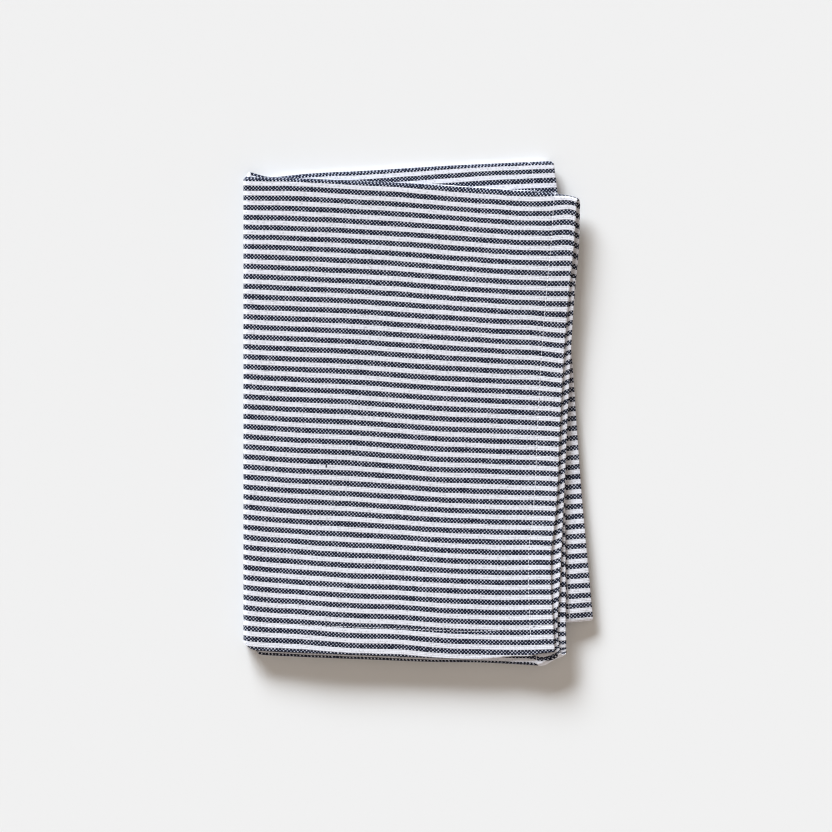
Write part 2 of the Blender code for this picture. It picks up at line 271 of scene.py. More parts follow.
# How finely the cloth is divided, with the points across a hem in millimetres
HEM_POINTS = {
    "from_edge": (0, 0.08, 0.3, 0.7, 1.3, 2.4, 4.5, 8),
    "from_hem": (-4, -2.2, -1.5, -1.1, -0.7, -0.3, 0, 0.3, 0.9, 2.2),
}
PRESSED_STEPS = 240
HALF_STEPS_UPPER = 72
HALF_STEPS_LOWER = 40
BEND_STEPS = 22
TOP_FOLD_STEPS = 14
BOTTOM_FOLD_STEPS = 12
FLAP_STEP = 3.6 * MM
INNER_STEP = 7 * MM

# The weave's looks. Scales are in waves a metre. A range runs from none to all; in other pairs,
# the first number scales what varies and the second is added.
STRIPE_WANDER_SCALE = 45
STRIPE_WANDER = 0.9 * MM
CROSS_WANDER_SCALE = 55
CROSS_WANDER = 1.6 * MM
WIDTH_SCALE = 70
STRIPE_WIDTH = (0.9, 0.62)
CROSS_WIDTH = (0.9, 0.45)
DIVE = 0.8
UNEVEN = 0.6
CROWN = 0.5
ON_TOP_RANGE = (-0.66, -0.16)
WORN_RANGE = (0.65, 0)
# How far a stripe's outer threads swell over their neighbours, as a share of a thread
STRIPE_SPREAD = 0.09
# Painted shade: how deep inside a navy stripe a white thread takes the darker colour, standing in
# for the shade of the navy threads around it
PAINTED_SHADE_RANGE = (1, 0.3)
# How light the white threads are: by place, then by crown (a random tone that also stands in for
# painted highlights on the thread tops), grain, crossing and hem, then by height, as a painted
# shade that darkens the low crevices between threads
TONE_SCALE = 260
TONE_LIGHT = (0.24, 0.90)
GRAIN_SCALE = 1400
# The crown's share is partly a painted highlight on the white threads' tops
LIGHTS = (0.42, 0.9, 0.12, 0.02)
PAINTED_SHADE_CREVICE_RANGE = (-0.2, 0.9)
PAINTED_CREVICE_SHADE = (0.22, 0.80)
# Pale flecks in the navy
FLECK_SCALE = 900
FLECK_RANGE = (0.62, 0.8)
FLECK_SHARE = 0.25
FLECK_COLOUR = (0.1, 0.11, 0.15, 1)
BLACK = (0, 0, 0, 1)
CLOTH_ROUGHNESS = (0.12, 0.82)
# The sewing thread
THREAD_TONE_SCALE = 900
THREAD_LIGHT = (0.2, 0.9)
THREAD_ROUGHNESS = (0.2, 0.5)
TWIST_SCALE = 1500
TWIST_RELIEF = 0.05 * MM

# The studio: the view is measured at the height of the towel's top layer
PIXEL = 0.76 * MM
VIEW_PIXELS = 832
TOP_LAYER = 12.6 * MM
FLOOR_HALF = 30
KEY_PANELS = {"key_left": -1, "key_middle": 0, "key_right": 1}
KEY_DISTANCE = 2


class TowelSizes(bpy.types.PropertyGroup):
    """Sizes of the cloth and its sewing."""

    thickness: FloatProperty(
        name="Cloth thickness", description="Of one layer", default=1.0 * MM, unit="LENGTH")
    hem_extra: FloatProperty(
        name="Hem thickness", description="What the turned-in cloth adds on the wrong side",
        default=0.7 * MM, unit="LENGTH")
    side_hem: FloatProperty(
        name="Side hem", description="Width of the hems along the length",
        default=18.4 * MM, unit="LENGTH")
    end_hem: FloatProperty(
        name="End hem", description="Width of the hems across the two ends",
        default=22.4 * MM, unit="LENGTH")
    stitch_inset: FloatProperty(
        name="Stitch inset", description="From a hem's inner fold to its stitching",
        default=1.1 * MM, unit="LENGTH")
    stitch_length: FloatProperty(
        name="Stitch", description="Length of one stitch", default=2.5 * MM, unit="LENGTH")
    stitch_gap: FloatProperty(
        name="Stitch gap", description="Between two stitches", default=0.6 * MM, unit="LENGTH")
    sewing_thread: FloatProperty(
        name="Sewing thread", description="Its diameter", default=0.6 * MM, unit="LENGTH")
    seam_dent: FloatProperty(
        name="Seam dent", description="How deep the stitching pulls into the cloth",
        default=0.22 * MM, unit="LENGTH")
    ripple: FloatProperty(
        name="Ripple", description="Height of the small undulations of the face",
        default=0.10 * MM, unit="LENGTH")


class TowelWeave(bpy.types.PropertyGroup):
    """Threads, stripes and colours."""

    stripe_pitch: FloatProperty(
        name="Stripe repeat", description="One navy stripe and one white band",
        default=7.63 * MM, unit="LENGTH")
    stripe_threads: IntProperty(
        name="Threads a stripe", description="Navy threads in a stripe; as many are white",
        default=3, min=1)
    cross_pitch: FloatProperty(
        name="Cross thread pitch", description="From one cross thread to the next",
        default=1.307 * MM, unit="LENGTH")
    white: FloatVectorProperty(
        name="White thread", description="Colour of the undyed thread", subtype="COLOR",
        default=(0.755, 0.759, 0.826), min=0, max=1)
    navy: FloatVectorProperty(
        name="Navy thread", description="Colour of the dyed thread", subtype="COLOR",
        default=(0.004, 0.0055, 0.0135), min=0, max=1)
    faded_navy: FloatVectorProperty(
        name="Faded navy", description="A navy thread's colour where it is worn", subtype="COLOR",
        default=(0.012, 0.017, 0.038), min=0, max=1)
    # Painted shade: this darker colour stands in for the shade that the navy threads cast on a
    # white thread between them
    white_in_painted_shade: FloatVectorProperty(
        name="Muted white", description="A white thread's colour beside navy ones", subtype="COLOR",
        default=(0.52, 0.55, 0.66), min=0, max=1)
    relief: FloatProperty(
        name="Relief", description="Height of a thread over its neighbours",
        default=0.16 * MM, unit="LENGTH")


class StudioSettings(bpy.types.PropertyGroup):
    """The floor, the light and the camera."""

    floor_colour: FloatVectorProperty(
        name="Floor", description="Colour of the pale floor", subtype="COLOR",
        default=(0.80, 0.80, 0.80), min=0, max=1)
    key_strength: FloatProperty(
        name="Key light", description="Strength of the soft key light", default=6.29)
    key_colour: FloatVectorProperty(
        name="Key colour", description="Colour of the key light", subtype="COLOR",
        default=(0.934, 1.0, 1.063), min=0, max=2)
    key_height: FloatProperty(
        name="Key height", description="The key light's angle above the floor",
        default=math.radians(21.5), subtype="ANGLE")
    key_turn: FloatProperty(
        name="Key turn", description="The key light's direction, left of straight behind the towel",
        default=math.radians(25.8), subtype="ANGLE")
    key_softness: FloatProperty(
        name="Key softness", description="The angle that each panel of the key light fills",
        default=math.radians(18), subtype="ANGLE")
    key_spread: FloatProperty(
        name="Key spread", description="The angle between the key light's three panels",
        default=math.radians(10), subtype="ANGLE")
    ambient_strength: FloatProperty(
        name="Ambient", description="Strength of the light from all round", default=0.365)
    ambient_colour: FloatVectorProperty(
        name="Ambient colour", description="Its colour", subtype="COLOR",
        default=(1.134, 1.0, 0.874), min=0, max=2)
    card_share: FloatProperty(
        name="White card", description="How much brighter the side across from the key light is",
        default=0.9, min=0, max=1)
    camera_distance: FloatProperty(
        name="Camera distance", description="Above the towel", default=3.0, unit="LENGTH")
    view_width: FloatProperty(
        name="View width", description="What the frame takes in at the towel's top layer",
        default=VIEW_PIXELS * PIXEL, unit="LENGTH")
    camera_centre: FloatVectorProperty(
        name="Camera centre", description="The point below the camera", size=2,
        default=(-1.65 * MM, -2.28 * MM), subtype="XYZ", unit="LENGTH")


def smooth_step(x):
    """0 below 0 and 1 above 1, smooth between them."""
    x = np.clip(x, 0, 1)
    return x * x * (3 - 2 * x)


def ramp(x, limits):
    """0 at the first limit and 1 at the second, smooth between them."""
    return smooth_step((x - limits[0]) / (limits[1] - limits[0]))


def axis(table):
    """A table's first row, which the others run along, from millimetres."""
    return np.array(next(iter(table.values())), float) * MM


def curve(table, row, at):
    """A smooth curve through a row of a table, in millimetres, straight beyond its ends."""
    x, y = axis(table), np.array(table[row], float) * MM
    slope = np.gradient(y, x)
    at = np.asarray(at, float)
    i = np.clip(np.searchsorted(x, at) - 1, 0, len(x) - 2)
    step = x[i + 1] - x[i]
    t = (at - x[i]) / step
    inside = (
        (2 * t**3 - 3 * t**2 + 1) * y[i]
        + (t**3 - 2 * t**2 + t) * step * slope[i]
        + (3 * t**2 - 2 * t**3) * y[i + 1]
        + (t**3 - t**2) * step * slope[i + 1]
    )
    below = y[0] + (at - x[0]) * slope[0]
    above = y[-1] + (at - x[-1]) * slope[-1]
    return np.where(at < x[0], below, np.where(at > x[-1], above, inside))


def level_curve(table, row, at):
    """The same curve, but level beyond its ends."""
    x = axis(table)
    return curve(table, row, np.clip(at, x[0], x[-1]))


def between_folds(top, bottom, reach, part):
    """The drop at a part of the way from a packet's top fold to its bottom one."""
    return curve(top, "drop", reach) * (1 - part) + curve(bottom, "drop", reach) * part


def bowed(table, reach, depth):
    """How far the threads bow at a reach and depth, smooth between the table's numbers."""
    depths = list(table)[1:]
    lines = np.array([level_curve(table, key, reach) for key in depths])
    at = np.clip(depth / MM, depths[0], depths[-1])
    i = np.clip(np.searchsorted(depths, at) - 1, 0, len(depths) - 2)
    first, last = np.array(depths)[i], np.array(depths)[i + 1]
    share = smooth_step((at - first) / (last - first))
    low = np.take_along_axis(lines, i[None], axis=0)[0]
    high = np.take_along_axis(lines, i[None] + 1, axis=0)[0]
    return low * (1 - share) + high * share


def pressed(turn):
    """What a pressed fold, squarer than a round one, has for its cosine and sine."""
    angle = np.linspace(0, QUARTER, PRESSED_STEPS)
    across, up = np.cos(angle) ** (2 / SQUARENESS), np.sin(angle) ** (2 / SQUARENESS)
    length = np.concatenate([[0], np.cumsum(np.hypot(np.diff(across), np.diff(up)))])
    share = length / length[-1] * QUARTER
    size = np.abs(turn)
    return np.interp(size, share, across), np.sign(turn) * np.interp(size, share, up)


class Folds:
    """The folds' own sizes, worked out from the levels."""

    def __init__(self, thickness):
        self.half = thickness / 2
        self.mid = FLAP_LEVEL + self.half
        self.top_radius = (FLAP_LEVEL - CENTRE_LEVEL) / 2
        self.bottom_radius = (TUCK_LEVEL - CENTRE_LEVEL) / 2
        self.top_quarter = QUARTER * self.top_radius
        self.bottom_quarter = QUARTER * self.bottom_radius
        self.top_tangent = self.half + self.top_radius
        straight = CENTRE_LENGTH - self.top_quarter - self.bottom_quarter
        self.bottom_tangent = self.top_tangent + straight
        self.depth = self.bottom_tangent + self.bottom_radius + self.half
        self.top_bend = FLAP_LENGTH
        self.bottom_bend = FLAP_LENGTH + CENTRE_LENGTH
        self.length = self.bottom_bend + TUCK_LENGTH

    def section(self, v):
        """Along the cloth's length: depth down the packet and level from its middle plane."""
        top, bottom = v - self.top_bend, v - self.bottom_bend
        top_turn = np.clip(top / self.top_radius, -QUARTER, QUARTER)
        bottom_turn = np.clip(bottom / self.bottom_radius, -QUARTER, QUARTER)
        before = top < CENTRE_LENGTH / 2
        top_past = np.maximum(np.abs(top) - self.top_quarter, 0)
        bottom_past = np.maximum(np.abs(bottom) - self.bottom_quarter, 0)
        depth = np.where(
            before,
            self.top_tangent + top_past - self.top_radius * np.cos(top_turn),
            self.bottom_tangent - bottom_past + self.bottom_radius * np.cos(bottom_turn),
        )
        level = np.where(
            before,
            (FLAP_LEVEL + CENTRE_LEVEL) / 2 - self.top_radius * np.sin(top_turn),
            (TUCK_LEVEL + CENTRE_LEVEL) / 2 + self.bottom_radius * np.sin(bottom_turn),
        )
        return depth, level

    def shares(self, v):
        """How much a point belongs to each layer, shared across each bend."""
        flap = 1 - smooth_step((v - self.top_bend) / (2 * self.top_quarter) + 0.5)
        tuck = smooth_step((v - self.bottom_bend) / (2 * self.bottom_quarter) + 0.5)
        return {"flap": flap, "tuck": tuck, "centre": 1 - flap - tuck}

def even_steps(start, end, step):
    """Numbers from start to end, at most a step apart."""
    count = max(2, int(math.ceil(abs(end - start) / step)))
    return list(np.linspace(start, end, count + 1))


def hem_insets(hem):
    """Distances from the edge at which the cloth has points, close together at the seam."""
    from_edge = [d * MM for d in HEM_POINTS["from_edge"]]
    return from_edge + [hem + d * MM for d in HEM_POINTS["from_hem"]]


def cloth_rows(folds, sizes):
    """Places along the cloth's length at which it has points."""
    ends = hem_insets(sizes.end_hem)
    rows = list(ends)
    for bend, quarter, step, turns in (
        (folds.top_bend, folds.top_quarter, FLAP_STEP, TOP_FOLD_STEPS),
        (folds.bottom_bend, folds.bottom_quarter, INNER_STEP, BOTTOM_FOLD_STEPS),
    ):
        rows += even_steps(rows[-1], bend - quarter, step)[1:]
        rows += list(bend + quarter * np.linspace(-1, 1, turns + 1)[1:])
    rows += even_steps(rows[-1], folds.length - ends[-1], INNER_STEP)[1:]
    return np.array(rows + [folds.length - d for d in ends[-2::-1]])


def soft_height(folds, reach, drop, height, loose):
    """Waves and lift of the upper packet."""
    wave = np.cos(2 * np.pi * (reach + SWELL_LEAN * drop) / SWELL_WIDTH)
    wave = wave * np.sin(2 * np.pi * (drop - SWELL_LEAN * reach) / SWELL_DEPTH + SWELL_START)
    swell = SWELL_HEIGHT / 2 * (1 + wave) * smooth_step(reach / CALM_REACH)
    swell = swell * (height - folds.mid) / FLAP_LEVEL
    corner = ramp(reach, LIFT_REACH) * ramp(drop, LIFT_DROP)
    return swell + loose * FLAP_LIFT * corner


def loft(reach, drop):
    """How far the stack stands up above its plain thickness."""
    bottom = level_curve(LOFT, "bottom", reach) * ramp(drop, BOTTOM_LOFT_DROP)
    return bottom + level_curve(LOFT, "top", reach) * ramp(drop, TOP_LOFT_DROP)


def crease_height(reach, drop):
    """The flap's creases, each a soft ridge along a short line that fades at its ends."""
    total = np.zeros_like(reach)
    for from_reach, from_drop, to_reach, to_drop, width, top in zip(*CREASES.values()):
        start = np.array([from_reach, from_drop]) * MM
        run = np.array([to_reach, to_drop]) * MM - start
        length = np.linalg.norm(run)
        along = ((reach - start[0]) * run[0] + (drop - start[1]) * run[1]) / length**2
        aside = ((reach - start[0]) * run[1] - (drop - start[1]) * run[0]) / length
        fade = smooth_step(along * CREASE_FADE) * smooth_step((1 - along) * CREASE_FADE)
        total += top * MM * fade * np.exp(-((aside / (width * MM)) ** 2))
    return total


def ripples(u, v):
    """Small undulations of woven cloth, from a few waves at odd angles, between -1 and 1."""
    total = np.zeros_like(u)
    wander = RIPPLE_WANDER * np.sin(v / RIPPLE_WANDER_LENGTH)
    for length, angle, start in zip(*RIPPLES.values()):
        along = u * math.cos(angle) + v * math.sin(angle)
        total += np.sin(2 * np.pi * along / (length * MM) + start + wander)
    return total / len(RIPPLES["length"])


class Cloth:
    """The folded cloth on a grid: its middle surface, thickness on each side and threads."""

    def __init__(self, sizes):
        self.folds = folds = Folds(sizes.thickness)
        self.sizes = sizes
        self.rows = cloth_rows(folds, sizes)
        v = self.rows[:, None]
        depth, level = folds.section(v)
        shares = folds.shares(v)
        slanted = depth * math.tan(FOLD_SLANT)
        drop = depth + TOP_DROP_AT_SIDE
        side = sum(part * curve(UPPER_SIDES, layer, drop) for layer, part in shares.items())
        bend_end = QUARTER * level
        upper_edge = side - folds.mid + bend_end
        lower_edge = curve(LOWER_SIDE, "centre", depth - TOP_RISE_AT_SIDE)
        lower_edge = lower_edge - folds.mid + QUARTER * CENTRE_LEVEL
        upper_width, lower_width = UPPER_WIDTH - slanted, LOWER_WIDTH + slanted
        insets = np.array(hem_insets(sizes.side_hem))
        upper_hem = upper_edge - insets[::-1] * upper_edge / upper_width
        lower_hem = -(lower_edge - insets * lower_edge / lower_width)
        share = np.linspace(0, 1, HALF_STEPS_UPPER + 1)[1:-1]
        upper_flat = bend_end + (upper_hem[:, :1] - bend_end) * share
        share = np.linspace(1, 0, HALF_STEPS_LOWER + 1)[1:-1]
        lower_flat = -bend_end + (lower_hem[:, -1:] + bend_end) * share
        bend = bend_end * np.linspace(-1, 1, BEND_STEPS + 1)
        arc = np.concatenate([lower_hem, lower_flat, bend, upper_flat, upper_hem], axis=1)
        upper_inset = (upper_edge - arc) * upper_width / upper_edge
        lower_inset = (lower_edge + arc) * lower_width / lower_edge

        loose = (v < folds.top_bend - folds.top_quarter) * 1.0
        short = curve(FLAP_END, "short", np.maximum(arc, 0)) * loose
        short = short * smooth_step(1 - v / FLAP_END_DEPTH)
        real_depth = depth - short
        self.seat(arc, upper_inset, real_depth, level, loose)

        self.u = np.where(arc > 0, UPPER_WIDTH - upper_inset, lower_inset - LOWER_WIDTH)
        self.side_inset = np.where(arc > 0, upper_inset, lower_inset)
        self.end_inset = np.minimum(v, folds.length - v) + 0 * arc
        bend_share = smooth_step(1 + np.sin(np.clip(arc / level, -QUARTER, 0)))
        bow = sum(part * bowed(UPPER_BOWS[layer], self.reach, real_depth)
                  for layer, part in shares.items())
        at_edge = smooth_step(1 - upper_inset / EDGE_SKEW_WIDTH)
        bow = bow - shares["tuck"] * TUCK_EDGE_SKEW * at_edge
        bow = bow * bend_share + bowed(LOWER_BOWS, self.reach, real_depth) * (1 - bend_share)
        self.v = v + short + bow + self.turned_under
        self.thicken(v, arc > 0)
        self.normal = self.normals()

    def thicken(self, v, upper):
        """Thickness on each side: the hems' extra cloth, the seams' dents and the rounded edge."""
        sizes, folds = self.sizes, self.folds
        hems = ((self.side_inset, sizes.side_hem), (self.end_inset, sizes.end_hem))
        self.hem = np.maximum(*(smooth_step((hem - inset) / HEM_STEP + 0.5) for inset, hem in hems))
        dent = np.maximum(*(self.seam(inset, hem) for inset, hem in hems))
        pucker = np.sin(2 * np.pi * (self.u + self.v) / PUCKER_LENGTH)
        dent = sizes.seam_dent * (dent * (1 - SEAM_PUCKER + SEAM_PUCKER * pucker))
        near = np.clip(np.minimum(self.side_inset, self.end_inset) / EDGE_ROUNDING, 0, 1)
        roll = np.sqrt(np.maximum(1 - (1 - near) ** 2, 0))
        # quarter turns from the middle of the bottom fold
        turns = np.abs(v - folds.bottom_bend) / folds.bottom_quarter
        extra = sizes.hem_extra * self.hem * (1 - HEM_PINCH * ramp(turns, PINCH_TURNS))
        askew = ramp(self.side_inset, SKEW_INSET) * upper
        thin = 1 - SKEW_PRESS * askew * ramp(turns, SKEW_TURNS)
        self.right_thickness = (folds.half - dent) * roll
        self.wrong_thickness = (folds.half + extra - dent) * roll * thin

    def seam(self, inset, hem):
        """How much the stitching dents the cloth at this distance from the edge."""
        return np.exp(-(((inset - hem + self.sizes.stitch_inset) / SEAM_WIDTH) ** 2))

    def seat(self, arc, inset, depth, level, loose):
        """Where each point lies."""
        folds = self.folds
        bend = np.clip(arc / level, -QUARTER, QUARTER)
        past = np.abs(arc) - QUARTER * level
        across, up = pressed(bend)
        reach = folds.mid + np.where(past > 0, past, -level * across)
        height = folds.mid + level * up
        upper = (1 + np.sin(bend)) / 2
        part = depth / folds.depth
        ear = level_curve(EAR, "rise", reach) * ramp(level, EAR_LEVELS)
        ear = ear * smooth_step(EAR_QUICKNESS * (1 - upper)) * np.exp(-depth / EAR_DEPTH)
        fade = np.exp(-np.maximum(folds.bottom_tangent - depth, 0) / CORNER_DEPTH)
        inner = level_curve(INNER_CORNER, "pull", reach)
        outer = FLAP_CORNER_PULL * np.clip(1 - reach / FLAP_CORNER_REACH, 0, 1) ** 2
        left = loose * outer + (1 - loose) * inner
        self.turned_under = loose * outer * fade
        right = level_curve(RIGHT_CORNER, "pull", inset) * (1 - loose)
        upper_drop = between_folds(UPPER_TOP, UPPER_BOTTOM, reach, part) - (left + right) * fade
        lower_drop = between_folds(LOWER_TOP, LOWER_BOTTOM, reach, part) - left * fade
        drop = upper * upper_drop + (1 - upper) * lower_drop - ear
        soft = soft_height(folds, reach, drop, height, loose) + loose * crease_height(reach, drop)
        soft = soft + self.sizes.ripple * ripples(reach, drop) * loose
        self.reach = reach
        height = height + upper * soft
        height = height + loft(reach, drop) * np.clip(height / folds.mid, 0, 1)
        self.points = np.stack([reach, -drop, height], axis=-1)

    def normals(self):
        """Which way the right side faces at each point."""
        along = np.gradient(self.points, axis=0)
        across = np.gradient(self.points, axis=1)
        normal = np.cross(across, along)
        return normal / np.linalg.norm(normal, axis=-1, keepdims=True)

    def sides(self):
        """The points of the right and the wrong side."""
        right = self.points + self.normal * self.right_thickness[..., None]
        wrong = self.points - self.normal * self.wrong_thickness[..., None]
        return right, wrong

    def centring(self):
        """What moves the cloth to the middle of the frame, with its lowest face on the floor."""
        right, wrong = self.sides()
        both = np.concatenate([right.reshape(-1, 3), wrong.reshape(-1, 3)])
        low, high = both.min(axis=0), both.max(axis=0)
        return -np.array([(low[0] + high[0]) / 2, (low[1] + high[1]) / 2, low[2]])


def new_object(name, data):
    """A new object in the scene."""
    item = bpy.data.objects.new(name, data)
    bpy.context.scene.collection.objects.link(item)
    return item


def cell_corners(values, flip):
    """A grid's values at the four corners of each cell, in the order of its face."""
    a, b = values[:-1, :-1], values[:-1, 1:]
    c, d = values[1:, 1:], values[1:, :-1]
    return np.stack((a, d, c, b) if flip else (a, b, c, d), axis=2)


def in_hem(inset, hem):
    """Whether the middle of each cell lies in the hem."""
    middle = (inset[:-1, :-1] + inset[1:, 1:]) / 2
    return (middle < hem)[..., None, None]


def cloth_object(cloth, name):
    """One closed mesh: the right and the wrong side share the points along the cloth's edge."""
    right, wrong = cloth.sides()
    n, m = right.shape[:2]
    right_index = np.arange(n * m).reshape(n, m)
    wrong_index = right_index.copy()
    wrong_index[1:-1, 1:-1] = n * m + np.arange((n - 2) * (m - 2)).reshape(n - 2, m - 2)
    points = np.concatenate([right.reshape(-1, 3), wrong[1:-1, 1:-1].reshape(-1, 3)])
    points = points + cloth.centring()
    faces = np.concatenate([cell_corners(right_index, False), cell_corners(wrong_index, True)])
    mesh = bpy.data.meshes.new(name)
    mesh.from_pydata(points.tolist(), [], faces.reshape(-1, 4).tolist())
    mesh.shade_smooth()

    # thread coordinates: on the wrong side a hem shows the cloth that is folded over the edge
    u, v, length = cloth.u, cloth.v, cloth.folds.length
    plain = np.stack([u, v], axis=-1)
    over_side = np.stack([2 * np.where(u > 0, UPPER_WIDTH, -LOWER_WIDTH) - u, v], axis=-1)
    over_end = np.stack([u, np.where(v < length / 2, 0, 2 * length) - v], axis=-1)
    right_uv = cell_corners(plain, False)
    wrong_uv = np.where(
        in_hem(cloth.end_inset, cloth.sizes.end_hem),
        cell_corners(over_end, True), cell_corners(plain, True))
    wrong_uv = np.where(
        in_hem(cloth.side_inset, cloth.sizes.side_hem), cell_corners(over_side, True), wrong_uv)
    threads = mesh.uv_layers.new(name="threads")
    both = np.concatenate([right_uv, wrong_uv])
    threads.data.foreach_set("uv", both.astype(np.float32).ravel())
    hem = mesh.attributes.new("hem", "FLOAT", "POINT")
    values = np.concatenate([cloth.hem.ravel(), cloth.hem[1:-1, 1:-1].ravel()])
    hem.data.foreach_set("value", values.astype(np.float32))
    return new_object(name, mesh)


class Surface:
    """A new material and its nodes."""

    def __init__(self, name):
        self.material = bpy.data.materials.new(name)
        self.material.use_nodes = True
        self.tree = self.material.node_tree
        self.shader = self.tree.nodes["Principled BSDF"]

    def give(self, name, value):
        """Sets or links one of the shader's sockets."""
        self.link(value, self.shader.inputs[name])

    def add(self, kind, **values):
        """A new node, with values or links for its sockets."""
        node = self.tree.nodes.new(kind)
        for name, value in values.items():
            self.link(value, node.inputs[name])
        return node

    def link(self, value, socket):
        """Joins a node's output to a socket, or sets the socket to a number or colour."""
        if hasattr(value, "is_linked"):
            self.tree.links.new(value, socket)
        else:
            socket.default_value = value

    def math(self, operation, *values):
        node = self.add("ShaderNodeMath")
        node.operation = operation
        for value, socket in zip(values, node.inputs):
            self.link(value, socket)
        return node.outputs[0]

    def times(self, first, second):
        return self.math("MULTIPLY", first, second)

    def scaled(self, value, factor, base):
        return self.math("MULTIPLY_ADD", value, factor, base)

    def noise(self, vector, scale, detail):
        node = self.add("ShaderNodeTexNoise", Vector=vector, Scale=scale, Detail=detail)
        return node.outputs["Fac"]

    def between(self, value, low, high):
        """0 at low and 1 at high, smooth between them and level beyond."""
        node = self.add("ShaderNodeMapRange")
        node.interpolation_type = "SMOOTHSTEP"
        for socket, number in zip(node.inputs, (value, low, high, 0, 1)):
            self.link(number, socket)
        return node.outputs[0]

    def mix(self, share, first, second):
        node = self.add("ShaderNodeMix")
        node.data_type = "RGBA"
        self.link(share, node.inputs[0])
        self.link(first, node.inputs[6])
        self.link(second, node.inputs[7])
        return node.outputs[2]

    def vector(self, x, y, z=0):
        return self.add("ShaderNodeCombineXYZ", X=x, Y=y, Z=z).outputs[0]

    def bump(self, height, strength, distance):
        node = self.add("ShaderNodeBump", Height=height, Strength=strength, Distance=distance)
        self.give("Normal", node.outputs[0])


def knot_marks(t, u, v):
    """How dark the knots make the cloth at a place."""
    marks = 0
    for across, along, width, length, darkness in zip(*KNOTS.values()):
        aside = t.scaled(u, 2 / (width * MM), -2 * across / width)
        ahead = t.scaled(v, 2 / (length * MM), -2 * along / length)
        far = t.scaled(aside, aside, t.times(ahead, ahead))
        mark = t.times(t.between(far, *KNOT_RANGE), darkness)
        marks = t.math("MAXIMUM", mark, marks)
    return marks


